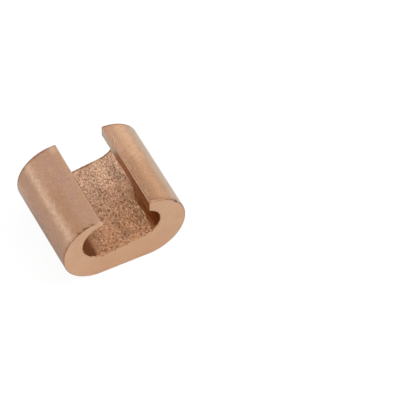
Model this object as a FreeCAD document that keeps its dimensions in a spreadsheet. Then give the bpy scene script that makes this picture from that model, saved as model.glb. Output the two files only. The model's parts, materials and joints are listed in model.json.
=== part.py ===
import FreeCAD
import Part
import Sketcher

import math
import os

# C-type compression connector for joining a tap wire to a run wire.
# One copper extrusion: a C-shaped bar, cut to length, with a large groove for the run wire,
# a small groove for the tap wire and a mouth between two lips of different thickness.
#
# Frame, in millimetres: X across the bar (run groove at -X, tap groove at +X), Y along it,
# +Z from the flat back up through the mouth. The origin is the middle of the flat back.

# Driving dimensions, each set by itself.
SIZES = {
    "body_width": 22.0,
    "body_height": 13.6,
    "body_length": 17.6,
    "back_corner_radius": 6.7,
    "run_shoulder_radius": 6.5,
    "tap_shoulder_radius": 6.7,
    "run_groove_radius": 3.9,
    "run_side_wall": 3.5,
    "run_lip_thickness": 1.3,
    "run_lip_top_radius": 0.75,
    "run_lip_under_radius": 0.3,
    "tap_groove_radius": 2.9,
    "tap_side_wall": 4.6,
    "tap_lip_thickness": 2.2,
    "tap_lip_top_radius": 0.35,
    "tap_lip_under_radius": 0.4,
    "mouth_width": 8.35,
    "mouth_offset": 0.225,
    "end_edge_radius": 0.15,
}

# Corner radii stop short of the wall that they round, so that a thinner wall still closes.
LARGEST_SHARE_OF_HEIGHT = 0.497
LARGEST_TOP_SHARE_OF_LIP = 0.66
LARGEST_UNDER_SHARE_OF_LIP = 0.26

PART_NAME = "connector_body"
TOLERANCE = 0.001

# How a sketch constraint names a point: the sketch's own origin, or a point of one edge.
ORIGIN = (-1, 1)
START = 1
END = 2
CENTRE = 3


def sheet_of_sizes(doc):
    """Put every driving dimension in one spreadsheet, a label beside each aliased number."""
    sheet = doc.addObject("Spreadsheet::Sheet", "Sizes")
    for row, (name, value) in enumerate(SIZES.items(), start=1):
        sheet.set("A%d" % row, name.replace("_", " "))
        sheet.set("B%d" % row, str(value))
        sheet.setAlias("B%d" % row, name)
    doc.recompute()


def size(name):
    """The expression that reads one size from the sheet."""
    return "Sizes." + name


def corner_radius(name):
    """A corner radius of the bar, held under half of its height."""
    return "min(%s; %s * %s)" % (size(name), LARGEST_SHARE_OF_HEIGHT, size("body_height"))


def lip_radius(name, share, thickness):
    """A rounding on a lip, held under its share of the lip's thickness."""
    return "min(%s; %s * %s)" % (size(name), share, size(thickness))


# Where the grooves and the mouth lie. Each groove hangs from the inside of its own lip and
# stands off its own side wall, so the back is what the grooves leave.
HALF_WIDTH = size("body_width") + " / 2"
RUN_AXIS_OUT = "%s - %s - %s" % (HALF_WIDTH, size("run_side_wall"), size("run_groove_radius"))
RUN_AXIS_UP = "%s - %s - %s" % (size("body_height"), size("run_lip_thickness"), size("run_groove_radius"))
TAP_AXIS_OUT = "%s - %s - %s" % (HALF_WIDTH, size("tap_side_wall"), size("tap_groove_radius"))
TAP_AXIS_UP = "%s - %s - %s" % (size("body_height"), size("tap_lip_thickness"), size("tap_groove_radius"))
MOUTH_RUN_SIDE = "%s / 2 - %s" % (size("mouth_width"), size("mouth_offset"))
MOUTH_TAP_SIDE = "%s / 2 + %s" % (size("mouth_width"), size("mouth_offset"))
MOUTH_TOP = "%s + %s" % (size("body_height"), size("tap_lip_thickness"))

# How far each lip is rounded at the mouth.
RUN_LIP_TOP = lip_radius("run_lip_top_radius", LARGEST_TOP_SHARE_OF_LIP, "run_lip_thickness")
RUN_LIP_UNDER = lip_radius("run_lip_under_radius", LARGEST_UNDER_SHARE_OF_LIP, "run_lip_thickness")
TAP_LIP_TOP = lip_radius("tap_lip_top_radius", LARGEST_TOP_SHARE_OF_LIP, "tap_lip_thickness")
TAP_LIP_UNDER = lip_radius("tap_lip_under_radius", LARGEST_UNDER_SHARE_OF_LIP, "tap_lip_thickness")


def value_of(expression):
    """Evaluate an expression of the sheet, for the first guess of a sketch."""
    return float(FreeCAD.ActiveDocument.getObject("Sizes").evalExpression(expression))


def section_sketch(body, name):
    """A sketch on the plane across the bar: its x is X, its y is Z."""
    sketch = body.newObject("Sketcher::SketchObject", name)
    plane = [item for item in body.Origin.OriginFeatures if item.Role == "XZ_Plane"][0]
    sketch.AttachmentSupport = [(plane, "")]
    sketch.MapMode = "FlatFace"
    return sketch


def at(x, z):
    """The point of a section sketch at (x, z) of the bar."""
    return FreeCAD.Vector(x, z, 0)


def line(x1, z1, x2, z2):
    """A straight edge from (x1, z1) to (x2, z2)."""
    return Part.LineSegment(at(x1, z1), at(x2, z2))


def arc(x, z, radius, start, end):
    """An arc about (x, z), anticlockwise from start to end in radians."""
    return Part.ArcOfCircle(Part.Circle(at(x, z), FreeCAD.Vector(0, 0, 1), radius), start, end)


def closed_loop(sketch, pieces, joint):
    """Add the pieces and join each end to the next start, tangent or merely touching."""
    sketch.addGeometry(pieces, False)
    for index in range(len(pieces)):
        following = (index + 1) % len(pieces)
        sketch.addConstraint(Sketcher.Constraint(joint, index, END, following, START))


def bind(sketch, name, expression, kind, *where):
    """Add one dimension to the sketch, named and tied to the sheet."""
    index = sketch.addConstraint(Sketcher.Constraint(kind, *where, value_of(expression)))
    sketch.renameConstraint(index, name)
    sketch.setExpression("Constraints." + name, expression)


def outline_sketch(body):
    """The outside of the bar: flat back, two deep rounded sides and two shoulders."""
    half, height = value_of(HALF_WIDTH), value_of(size("body_height"))
    back = value_of(corner_radius("back_corner_radius"))
    run = value_of(corner_radius("run_shoulder_radius"))
    tap = value_of(corner_radius("tap_shoulder_radius"))
    quarter = math.pi / 2
    pieces = [
        line(back - half, 0, half - back, 0),
        arc(half - back, back, back, -quarter, 0),
        line(half, back, half, height - tap),
        arc(half - tap, height - tap, tap, 0, quarter),
        line(half - tap, height, run - half, height),
        arc(run - half, height - run, run, quarter, 2 * quarter),
        line(-half, height - run, -half, back),
        arc(back - half, back, back, 2 * quarter, 3 * quarter),
    ]
    back_line, tap_back_arc, tap_line, tap_arc, top_line, run_arc, run_line, run_back_arc = range(8)
    sketch = section_sketch(body, "Outline")
    closed_loop(sketch, pieces, "Tangent")
    for flat in (back_line, top_line):
        sketch.addConstraint(Sketcher.Constraint("Horizontal", flat))
    for upright in (tap_line, run_line):
        sketch.addConstraint(Sketcher.Constraint("Vertical", upright))
    sketch.addConstraint(Sketcher.Constraint("PointOnObject", back_line, START, -1))
    bind(sketch, "height", size("body_height"), "DistanceY", *ORIGIN, top_line, START)
    bind(sketch, "run_side", HALF_WIDTH, "DistanceX", run_line, START, *ORIGIN)
    bind(sketch, "tap_side", HALF_WIDTH, "DistanceX", *ORIGIN, tap_line, START)
    bind(sketch, "tap_back_corner", corner_radius("back_corner_radius"), "Radius", tap_back_arc)
    bind(sketch, "run_back_corner", corner_radius("back_corner_radius"), "Radius", run_back_arc)
    bind(sketch, "tap_shoulder", corner_radius("tap_shoulder_radius"), "Radius", tap_arc)
    bind(sketch, "run_shoulder", corner_radius("run_shoulder_radius"), "Radius", run_arc)
    return sketch


def grooves_sketch(body):
    """The two wire grooves and the slanting floor tangent to both, as a belt round two pulleys."""
    run_x, run_z = -value_of(RUN_AXIS_OUT), value_of(RUN_AXIS_UP)
    tap_x, tap_z = value_of(TAP_AXIS_OUT), value_of(TAP_AXIS_UP)
    run_r, tap_r = value_of(size("run_groove_radius")), value_of(size("tap_groove_radius"))
    # A line tangent to both circles has a normal this far round from the line of centres.
    slope = math.atan2(tap_z - run_z, tap_x - run_x)
    turn = math.acos((run_r - tap_r) / math.hypot(tap_x - run_x, tap_z - run_z))
    upper, lower = slope + turn, slope - turn

    def on_circle(x, z, radius, angle):
        return x + radius * math.cos(angle), z + radius * math.sin(angle)

    pieces = [
        arc(run_x, run_z, run_r, upper, lower + 2 * math.pi),
        line(*on_circle(run_x, run_z, run_r, lower), *on_circle(tap_x, tap_z, tap_r, lower)),
        arc(tap_x, tap_z, tap_r, lower, upper),
        line(*on_circle(tap_x, tap_z, tap_r, upper), *on_circle(run_x, run_z, run_r, upper)),
    ]
    run_arc, tap_arc = 0, 2
    sketch = section_sketch(body, "Grooves")
    closed_loop(sketch, pieces, "Tangent")
    bind(sketch, "run_groove", size("run_groove_radius"), "Radius", run_arc)
    bind(sketch, "tap_groove", size("tap_groove_radius"), "Radius", tap_arc)
    bind(sketch, "run_axis_out", RUN_AXIS_OUT, "DistanceX", run_arc, CENTRE, *ORIGIN)
    bind(sketch, "run_axis_up", RUN_AXIS_UP, "DistanceY", *ORIGIN, run_arc, CENTRE)
    bind(sketch, "tap_axis_out", TAP_AXIS_OUT, "DistanceX", *ORIGIN, tap_arc, CENTRE)
    bind(sketch, "tap_axis_up", TAP_AXIS_UP, "DistanceY", *ORIGIN, tap_arc, CENTRE)
    return sketch


def mouth_sketch(body):
    """The gap between the lips, from the height of the tap groove's axis out through the top."""
    left, right = -value_of(MOUTH_RUN_SIDE), value_of(MOUTH_TAP_SIDE)
    bottom, top = value_of(TAP_AXIS_UP), value_of(MOUTH_TOP)
    pieces = [
        line(left, bottom, right, bottom),
        line(right, bottom, right, top),
        line(right, top, left, top),
        line(left, top, left, bottom),
    ]
    bottom_line, tap_line, top_line, run_line = range(4)
    sketch = section_sketch(body, "Mouth")
    closed_loop(sketch, pieces, "Coincident")
    for flat in (bottom_line, top_line):
        sketch.addConstraint(Sketcher.Constraint("Horizontal", flat))
    for upright in (tap_line, run_line):
        sketch.addConstraint(Sketcher.Constraint("Vertical", upright))
    bind(sketch, "run_side", MOUTH_RUN_SIDE, "DistanceX", run_line, START, *ORIGIN)
    bind(sketch, "tap_side", MOUTH_TAP_SIDE, "DistanceX", *ORIGIN, tap_line, START)
    bind(sketch, "bottom", TAP_AXIS_UP, "DistanceY", *ORIGIN, bottom_line, START)
    bind(sketch, "top", MOUTH_TOP, "DistanceY", *ORIGIN, top_line, START)
    return sketch


def pad_bar(body, sketch):
    """Extrude the outline to the cut length, half each way from the origin."""
    pad = body.newObject("PartDesign::Pad", "Bar")
    pad.Profile = sketch
    pad.SideType = "Symmetric"
    pad.setExpression("Length", size("body_length"))
    return pad


def cut_through(body, sketch, name):
    """Cut a sketch through the whole bar, and make sure that it took material away."""
    FreeCAD.ActiveDocument.recompute()
    before = body.Shape.Volume
    pocket = body.newObject("PartDesign::Pocket", name)
    pocket.Profile = sketch
    pocket.Type = "ThroughAll"
    pocket.SideType = "Symmetric"
    FreeCAD.ActiveDocument.recompute()
    if pocket.Shape.isNull() or pocket.Shape.Volume > before - TOLERANCE:
        raise RuntimeError(name + " cut nothing")
    return pocket


def mouth_edges(shape, x):
    """The lower and the upper long edge of the lip whose mouth face lies at x."""
    found = []
    for number, edge in enumerate(shape.Edges, start=1):
        along = abs(edge.tangentAt(edge.FirstParameter).y) > 1 - TOLERANCE
        if along and abs(edge.CenterOfMass.x - x) < TOLERANCE:
            found.append((edge.CenterOfMass.z, "Edge%d" % number))
    found.sort()
    return found[0][1], found[-1][1]


def end_faces(shape):
    """The two sawn end faces of the bar."""
    reach = max(abs(face.CenterOfMass.y) for face in shape.Faces)
    found = []
    for number, face in enumerate(shape.Faces, start=1):
        if abs(abs(face.CenterOfMass.y) - reach) < TOLERANCE:
            found.append("Face%d" % number)
    return found


def round_off(body, name, base, parts, radius):
    """Round the edges of a feature that parts names, or all edges of the faces it names."""
    fillet = body.newObject("PartDesign::Fillet", name)
    fillet.Base = (base, parts)
    fillet.setExpression("Radius", radius)
    FreeCAD.ActiveDocument.recompute()
    return fillet


def round_lip(body, name, base, x, top_radius, under_radius):
    """Round the top and then the underside of the lip whose mouth face lies at x."""
    upper_edge = mouth_edges(base.Shape, x)[1]
    top = round_off(body, name + "Top", base, [upper_edge], top_radius)
    lower_edge = mouth_edges(top.Shape, x)[0]
    return round_off(body, name + "Under", top, [lower_edge], under_radius)


def connector_body(doc):
    """The whole connector, one solid."""
    body = doc.addObject("PartDesign::Body", "ConnectorBody")
    body.Label = PART_NAME
    pad_bar(body, outline_sketch(body))
    cut_through(body, grooves_sketch(body), "WireGrooves")
    mouth = cut_through(body, mouth_sketch(body), "MouthGap")

    # The run lip is thin and tapers to a rounded nose, so that it can slide under the other lip.
    # The tap lip is blunt: an upright face between two lightly rounded corners.
    run_lip_x, tap_lip_x = -value_of(MOUTH_RUN_SIDE), value_of(MOUTH_TAP_SIDE)
    run_lip = round_lip(body, "RunLip", mouth, run_lip_x, RUN_LIP_TOP, RUN_LIP_UNDER)
    tap_lip = round_lip(body, "TapLip", run_lip, tap_lip_x, TAP_LIP_TOP, TAP_LIP_UNDER)

    # Sawing and tumbling leave a fine rounding all round both ends.
    round_off(body, "EndEdges", tap_lip, end_faces(tap_lip.Shape), size("end_edge_radius"))
    return body


def check(doc, body):
    """Stop if anything in the document failed, or if the body isn't one sound solid."""
    for item in doc.Objects:
        if "Invalid" in item.State or "Error" in item.State:
            raise RuntimeError("%s failed to build: %s" % (item.Name, item.State))
    shape = body.Shape
    if shape.isNull() or not shape.isValid() or len(shape.Solids) != 1:
        raise RuntimeError(body.Label + " is not one valid solid")


def main():
    doc = FreeCAD.newDocument("CompressionConnector")
    sheet_of_sizes(doc)
    body = connector_body(doc)
    doc.recompute()
    check(doc, body)
    os.makedirs("parts", exist_ok=True)
    body.Shape.exportStep("parts/%s.step" % body.Label)
    box = body.Shape.optimalBoundingBox(False, False)
    print("%s: %.2f x %.2f x %.2f mm, %.1f cubic mm, %d faces" % (
        body.Label, box.XLength, box.YLength, box.ZLength, body.Shape.Volume, len(body.Shape.Faces)))


main()
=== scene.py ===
import json
import math

import bpy
import numpy as np
from mathutils import Matrix, Vector


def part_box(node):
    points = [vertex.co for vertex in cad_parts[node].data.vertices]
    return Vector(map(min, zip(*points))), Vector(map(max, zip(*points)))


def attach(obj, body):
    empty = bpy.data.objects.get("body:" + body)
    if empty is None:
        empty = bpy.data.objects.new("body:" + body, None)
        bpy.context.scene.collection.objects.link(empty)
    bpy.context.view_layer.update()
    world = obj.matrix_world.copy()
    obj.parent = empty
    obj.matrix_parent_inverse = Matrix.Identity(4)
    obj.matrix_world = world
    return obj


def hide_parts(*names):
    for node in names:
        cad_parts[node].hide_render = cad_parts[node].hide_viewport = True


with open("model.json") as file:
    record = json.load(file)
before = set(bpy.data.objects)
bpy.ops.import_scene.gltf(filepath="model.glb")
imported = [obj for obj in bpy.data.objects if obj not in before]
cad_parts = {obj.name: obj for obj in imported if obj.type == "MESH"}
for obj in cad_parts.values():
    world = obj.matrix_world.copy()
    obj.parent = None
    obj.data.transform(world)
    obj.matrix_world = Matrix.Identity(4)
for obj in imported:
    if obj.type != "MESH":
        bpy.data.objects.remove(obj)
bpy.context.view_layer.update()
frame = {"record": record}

# A copper C-shaped compression connector: one extruded bar, sawn to length, rough with coarse
# grit inside its wire grooves, drawn smooth and a little tarnished outside.
# Everything is in metres, in the frame of the part: X across the bar from the run groove to the
# tap groove, Y along it, Z up from the flat back.

MM = 0.001
BAR = "connector_body"
MOUNTS = {mount["name"]: mount for mount in frame["record"]["mounts"]}


def mm(*values):
    """Lengths given in millimetres, in metres."""
    return tuple(value * MM for value in values)


def groove(name):
    """Axis in the section (x, z) and radius of a wire groove, as the part's record states them."""
    x, _, z = MOUNTS[name]["pos_m"]
    return np.array((x, z)), MOUNTS[name]["dims"]["r_mm"] * MM


RUN_AXIS, RUN_GROOVE = groove("run_groove")
TAP_AXIS, TAP_GROOVE = groove("tap_groove")
_, BAR_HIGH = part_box(BAR)
HALF_WIDTH, HALF_LENGTH, HEIGHT = BAR_HIGH

# The rest of the section
BACK_CORNER = 6.7 * MM
RUN_SHOULDER = 6.5 * MM
TAP_SHOULDER = 6.7 * MM
RUN_LIP_UNDER = 0.3 * MM
TAP_LIP_TOP = 0.22 * MM
TAP_LIP_UNDER = 0.4 * MM
TAP_SHOULDER_AXIS = np.array((HALF_WIDTH - TAP_SHOULDER, HEIGHT - TAP_SHOULDER))

# The lips lean over by a hair and the run lip ends sharper towards the far end, which has less of
# its sawn edges broken: the run lip's edge and top rounding, the tap lip's face, the sawn edge
LIPS = (mm(-3.92, 0.7, 4.37), mm(-3.86, 0.4, 4.44))
SAWN_EDGES = mm(0.15, 0.06)

# How finely the surface is divided
BAND = 250          # faces along the outside, and as many along the grooves
ACROSS = 16         # faces across a lip, and across the wall at each end
ROWS = 158          # faces along the bar between the rounded end edges
EDGE_ROWS = 4       # faces round each sawn edge
ARC_POINTS = 400
END_BEND = 0.12     # share of the end band over which its lines bend to follow the lips

# Relief of the surfaces
RING_WIDTH = 0.8            # spread of the wave lengths in one pattern of bumps
GRIT_GRAIN = 0.4 * MM
GRIT_HEIGHT = 0.018 * MM
GRIT_DRAWN = 1.5            # bumps this much longer than wide, along the bar
CLUMP_GRAIN = 1.1 * MM
CLUMP_HEIGHT = 0.014 * MM
PIT_GRAIN = 0.6 * MM
PIT_FROM = 1.3
PIT_DEPTH = 0.07 * MM
CHIP_GRAIN = 0.55 * MM      # chips broken out of the grooves' edge at the near end
CHIP_FROM = 0.2
CHIP_MOST = 1.2
CHIP_DEPTH = 0.09 * MM
CHIP_REACH = 0.3 * MM
GRIT_FROM = mm(-5.0, -2.9)  # where the grit comes in on the run side
GRIT_TO = mm(5.75, 6.05)    # and goes out on the tap side
GRIT_LEAN = 0.62 * MM       # how much sooner it goes out over the near half
LEAN_FROM, LEAN_TO = mm(-2.4, 0.4)
GRIT_WANDER = 0.4 * MM
TAP_WANDER = 0.2            # share of that wander on the tap side
WANDER_GRAIN = 4.0 * MM
WANDER_DRAWN = 1.5
WORN_AT = mm(5.4, -0.8)     # middle and half lengths of a patch rubbed smooth
WORN_HALF = mm(0.8, 2.4)
WORN_SHARE = 0.85
SMOOTH_WALL = 0.2           # share of its relief left on the bare groove walls
SKIN_WAVE = 1.9 * MM
SKIN_DRAWN = 2.0
SKIN_DEPTH = 0.004 * MM
SKIN_SPREAD = 2             # the waves are cut off this many spreads from their mean
LIP_COLUMNS = 6             # columns over which the skin's relief comes in from each lip

# A burr rolled over the near rim of the tap lip, and a dent knocked into it. Turns are in degrees
# up the tap shoulder: where the burr and dent begin, and over which the burr grows to its width.
TAP_LIP_TURN = (18, 34)
BURR_TURN = (30, 88)
BURR_WIDTH = 0.6 * MM
BURR_LEAST = 0.01 * MM
BURR_FLAT = 0.4             # share of its width that is flat
BURR_DEPTH = 0.05 * MM
DENT_BEARING = 41.0
DENT_HALF_TURN = 3.6
DENT_LENGTH = 0.34 * MM
DENT_DEPTH = 0.14 * MM


# Section of the bar

def arc(centre, radius, start, end):
    """Centre plus radius times (cos a, sin a), with a going evenly from start to end in degrees."""
    angle = np.radians(np.linspace(start, end, ARC_POINTS))
    return np.column_stack((centre[0] + radius * np.cos(angle), centre[1] + radius * np.sin(angle)))


def bearing(origin, point):
    """The direction from one point of the section to another, in degrees from +X."""
    return math.degrees(math.atan2(point[1] - origin[1], point[0] - origin[0]))


def rounding_centre(lip_x, radius, axis, reach):
    """The centre of a rounding at a lip: its x is one radius from the lip's upright face, and its
    height is where it lies reach from the axis of the circle that it blends into."""
    x = lip_x + radius
    return np.array((x, axis[1] + math.sqrt(reach ** 2 - (x - axis[0]) ** 2)))


def divided(arcs, count):
    """The line through the arcs in turn, cut into count equal lengths, without its last point:
    x and z are read at equal shares of the length run so far."""
    points = np.vstack(arcs)
    run = np.concatenate(([0], np.cumsum(np.hypot(*np.diff(points, axis=0).T))))
    at = np.linspace(0, run[-1], count + 1)[:-1]
    return np.column_stack((np.interp(at, run, points[:, 0]), np.interp(at, run, points[:, 1])))


def section_loop(run_lip_x, run_lip_top, tap_lip_x):
    """The closed section of one end, walked with the copper on the left: the outside from the run
    lip round the back to the tap lip, the tap lip's mouth face, the grooves and the floor tangent
    to both, and the run lip's nose."""
    run_shoulder = np.array((RUN_SHOULDER - HALF_WIDTH, HEIGHT - RUN_SHOULDER))
    run_back = np.array((BACK_CORNER - HALF_WIDTH, BACK_CORNER))
    tap_back = np.array((HALF_WIDTH - BACK_CORNER, BACK_CORNER))
    nose_top = rounding_centre(run_lip_x, -run_lip_top, run_shoulder, RUN_SHOULDER - run_lip_top)
    nose_under = rounding_centre(run_lip_x, -RUN_LIP_UNDER, RUN_AXIS, RUN_GROOVE + RUN_LIP_UNDER)
    lip_top = rounding_centre(tap_lip_x, TAP_LIP_TOP, TAP_SHOULDER_AXIS, TAP_SHOULDER - TAP_LIP_TOP)
    lip_under = rounding_centre(tap_lip_x, TAP_LIP_UNDER, TAP_AXIS, TAP_GROOVE + TAP_LIP_UNDER)
    apart = math.hypot(*(TAP_AXIS - RUN_AXIS))
    floor = bearing(RUN_AXIS, TAP_AXIS) - math.degrees(math.acos((RUN_GROOVE - TAP_GROOVE) / apart))
    top_start = bearing(run_shoulder, nose_top)
    top_end = bearing(TAP_SHOULDER_AXIS, lip_top)
    under_end = bearing(TAP_AXIS, lip_under)
    nose_end = bearing(RUN_AXIS, nose_under)
    outside = divided((
        arc(run_shoulder, RUN_SHOULDER, top_start, 180),
        arc(run_back, BACK_CORNER, 180, 270),
        arc(tap_back, BACK_CORNER, 270, 360),
        arc(TAP_SHOULDER_AXIS, TAP_SHOULDER, 0, top_end)), BAND)
    tap_face = divided((
        arc(lip_top, TAP_LIP_TOP, top_end, 180),
        arc(lip_under, TAP_LIP_UNDER, 180, 180 + under_end)), ACROSS)
    grooves = divided((
        arc(TAP_AXIS, TAP_GROOVE, under_end, floor),
        arc(RUN_AXIS, RUN_GROOVE, floor + 360, nose_end)), BAND)
    nose = divided((
        arc(nose_under, RUN_LIP_UNDER, nose_end - 180, 0),
        arc(nose_top, run_lip_top, 0, top_start)), ACROSS)
    return np.vstack((outside, tap_face, grooves, nose))


def outward(loop):
    """Unit normals of a closed line with the copper on its left: the mean direction of the two
    edges at each point, turned a quarter to the right."""
    edge = np.roll(loop, -1, axis=0) - loop
    edge /= np.linalg.norm(edge, axis=1)[:, None]
    along = edge + np.roll(edge, 1, axis=0)
    along /= np.linalg.norm(along, axis=1)[:, None]
    return np.column_stack((along[:, 1], -along[:, 0]))


def facing(loop):
    """Bearing of the outward normal in degrees, counted on without a jump: 90 on top of the run
    lip, 180 at the run side, 270 on the back, 360 at the tap side and 450 on top of the tap lip.
    The nose of the run lip is counted back from 90."""
    turned = np.degrees(np.unwrap(np.arctan2(*outward(loop).T[::-1])))
    turned[-ACROSS:] -= 360
    return turned


# Relief

def smooth(low, high, value):
    """0 below low, 1 above high, and the cubic 3 t^2 - 2 t^3 between."""
    share = np.clip((value - low) / (high - low), 0, 1)
    return share * share * (3 - 2 * share)


def ripple(shape, steps, grain, drawn, seed):
    """Random bumps of one size on a grid: white noise whose spectrum is kept only in a Gaussian
    ring about one wave per grain, drawn out along the bar, scaled to a spread of one."""
    white = np.random.default_rng(seed).standard_normal(shape)
    across = np.fft.fftfreq(shape[0], steps[0])[:, None]
    along = np.fft.rfftfreq(shape[1], steps[1])[None, :] * drawn
    ring = np.exp(-((np.hypot(across, along) * grain - 1) / RING_WIDTH) ** 2)
    field = np.fft.irfft2(np.fft.rfft2(white) * ring, s=shape)
    return field / field.std()


def steps_of(points, y):
    """Mean distance between the grid's columns, and between its rows."""
    return np.linalg.norm(np.diff(points, axis=0), axis=1).mean(), 2 * HALF_LENGTH / len(y)


def grit_cover(points, y, steps):
    """How much of the grit lies on the groove wall: all of it on the floor, fading out up both
    sides to the little that the bare walls have. The border on the run side wanders in a random
    pattern, and the one on the tap side stands further in over the near half. A patch is rubbed
    smooth, by a bell of x and y."""
    shape = (len(points), len(y))
    wander = GRIT_WANDER * ripple(shape, steps, WANDER_GRAIN, WANDER_DRAWN, seed=14)
    lean = GRIT_LEAN * (1 - smooth(LEAN_FROM, LEAN_TO, y))
    x, z = points.T[..., None]
    begun = smooth(*GRIT_FROM, x + wander)
    ended = smooth(*GRIT_TO, x + TAP_WANDER * wander + lean)
    floor = begun * (1 - ended) * (z < RUN_AXIS[1])
    worn = np.exp(-((x - WORN_AT[0]) / WORN_HALF[0]) ** 2 - ((y - WORN_AT[1]) / WORN_HALF[1]) ** 2)
    return SMOOTH_WALL + (1 - SMOOTH_WALL) * floor * (1 - WORN_SHARE * worn)


def grit_relief(points, y):
    """Height of the grit over the nominal groove wall: fine bumps, broader clumps, and pits where
    a third pattern stands above PIT_FROM. Where a fourth one stands above CHIP_FROM the near rim
    is chipped, by a bell of the distance from it. Also how much of the grit there is."""
    shape = (len(points), len(y))
    steps = steps_of(points, y)
    cover = grit_cover(points, y, steps)
    fine = ripple(shape, steps, GRIT_GRAIN, GRIT_DRAWN, seed=11)
    clumps = ripple(shape, steps, CLUMP_GRAIN, 1.0, seed=12)
    pits = np.clip(ripple(shape, steps, PIT_GRAIN, GRIT_DRAWN, seed=13) - PIT_FROM, 0, 1)
    height = GRIT_HEIGHT * fine + CLUMP_HEIGHT * clumps - PIT_DEPTH * pits
    chips = np.clip(ripple(shape, steps, CHIP_GRAIN, 1.0, seed=15) - CHIP_FROM, 0, CHIP_MOST)
    chips = chips * np.exp(-((y + HALF_LENGTH) / CHIP_REACH) ** 2)
    return height * cover - CHIP_DEPTH * chips, cover


def skin_relief(points, y):
    """Shallow inward waves of the drawn skin, with the burr and the dent at the tap lip's near
    rim: the burr sinks towards the rim as a smooth step, the dent as a product of two bells. Also
    how much of the burr and of the dent there is."""
    shape = (len(points), len(y))
    waves = ripple(shape, steps_of(points, y), SKIN_WAVE, SKIN_DRAWN, seed=21)
    column = np.arange(len(points))
    off_lip = smooth(0, LIP_COLUMNS, np.minimum(column, len(points) - 1 - column))
    from_end = y + HALF_LENGTH
    turn = np.degrees(np.arctan2(*(points - TAP_SHOULDER_AXIS).T[::-1]))
    on_tap_lip = smooth(*TAP_LIP_TURN, turn) * (points[:, 0] > TAP_SHOULDER_AXIS[0])
    reach = BURR_WIDTH * smooth(*BURR_TURN, turn)[:, None] + BURR_LEAST
    burr = on_tap_lip[:, None] * (1 - smooth(BURR_FLAT * reach, reach, from_end))
    dent = np.outer(np.exp(-((turn - DENT_BEARING) / DENT_HALF_TURN) ** 2) * on_tap_lip,
                    np.exp(-(from_end / DENT_LENGTH) ** 2))
    sunk = np.clip(waves + SKIN_SPREAD, 0, 2 * SKIN_SPREAD)
    height = -SKIN_DEPTH * sunk - BURR_DEPTH * burr - DENT_DEPTH * dent
    return height * off_lip[:, None], burr, dent


# Mesh of the bar

def along_bar():
    """For each row of the mesh: how far it has come round a sawn edge (0 at the end face, 1 on the
    wall), its place along the bar, and the size of the edge at its end. A row at angle a round a
    sawn edge stands edge * (1 - cos a) in from the end."""
    turn = np.linspace(0, 1, EDGE_ROWS + 1)[:-1]
    inset = 1 - np.cos(turn * math.pi / 2)
    near, far = SAWN_EDGES
    straight = np.linspace(near - HALF_LENGTH, HALF_LENGTH - far, ROWS + 1)
    on_wall = np.concatenate((turn, np.ones(ROWS + 1), turn[::-1]))
    y = np.concatenate((near * inset - HALF_LENGTH, straight, (HALF_LENGTH - far * inset)[::-1]))
    return on_wall, y, np.where(y < 0, near, far)


def wall_points(loops, relief):
    """Grid of columns round the section by rows along the bar: the near section blended evenly
    into the far one, and each point of it moved out along its normal by the relief, less
    edge * (1 - sin a) at angle a round a sawn edge."""
    on_wall, y, edge = along_bar()
    share = 0.5 + 0.5 * y[None, :, None] / HALF_LENGTH
    section, normal = (near[:, None] * (1 - share) + far[:, None] * share
                       for near, far in (loops, [outward(loop) for loop in loops]))
    height = relief - (edge * (1 - np.sin(on_wall * math.pi / 2)))[None, :]
    moved = section + normal * height[..., None]
    return np.stack((moved[..., 0], np.broadcast_to(y, height.shape), moved[..., 1]), axis=-1)


def end_columns(columns):
    """Wall columns on the four sides of the end grid: outside, grooves, nose and tap face."""
    return (np.arange(BAND + 1), 2 * BAND + ACROSS - np.arange(BAND + 1),
            (columns - np.arange(ACROSS + 1)) % columns, BAND + np.arange(ACROSS + 1))


def end_grid(ring):
    """The end face as a band from the outside to the grooves: straight lines between points at
    equal shares of both, bent near the lips to follow the nose and the tap lip's face, with the
    bend fading as the square of the distance."""
    outside, inside, nose, tap_face = (ring[side] for side in end_columns(len(ring)))
    t = (0.5 - 0.5 * np.cos(np.linspace(0, math.pi, ACROSS + 1)))[None, :, None]
    band = outside[:, None] * (1 - t) + inside[:, None] * t
    away = np.arange(BAND + 1) / BAND
    near_nose = np.clip(1 - away / END_BEND, 0, 1) ** 2
    near_tap = np.clip(1 - (1 - away) / END_BEND, 0, 1) ** 2
    return (band + near_nose[:, None, None] * (nose - band[0])[None]
            + near_tap[:, None, None] * (tap_face - band[-1])[None])


SKIN, GRIT, SAWN = range(3)

# What the finishes read from the wall's points: 1 round the sawn edges, the way they face, the
# grit's height and cover, the burr and the dent
MARKS = ("rim", "facing", "grit_level", "grit_cover", "burr", "dent")


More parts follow.
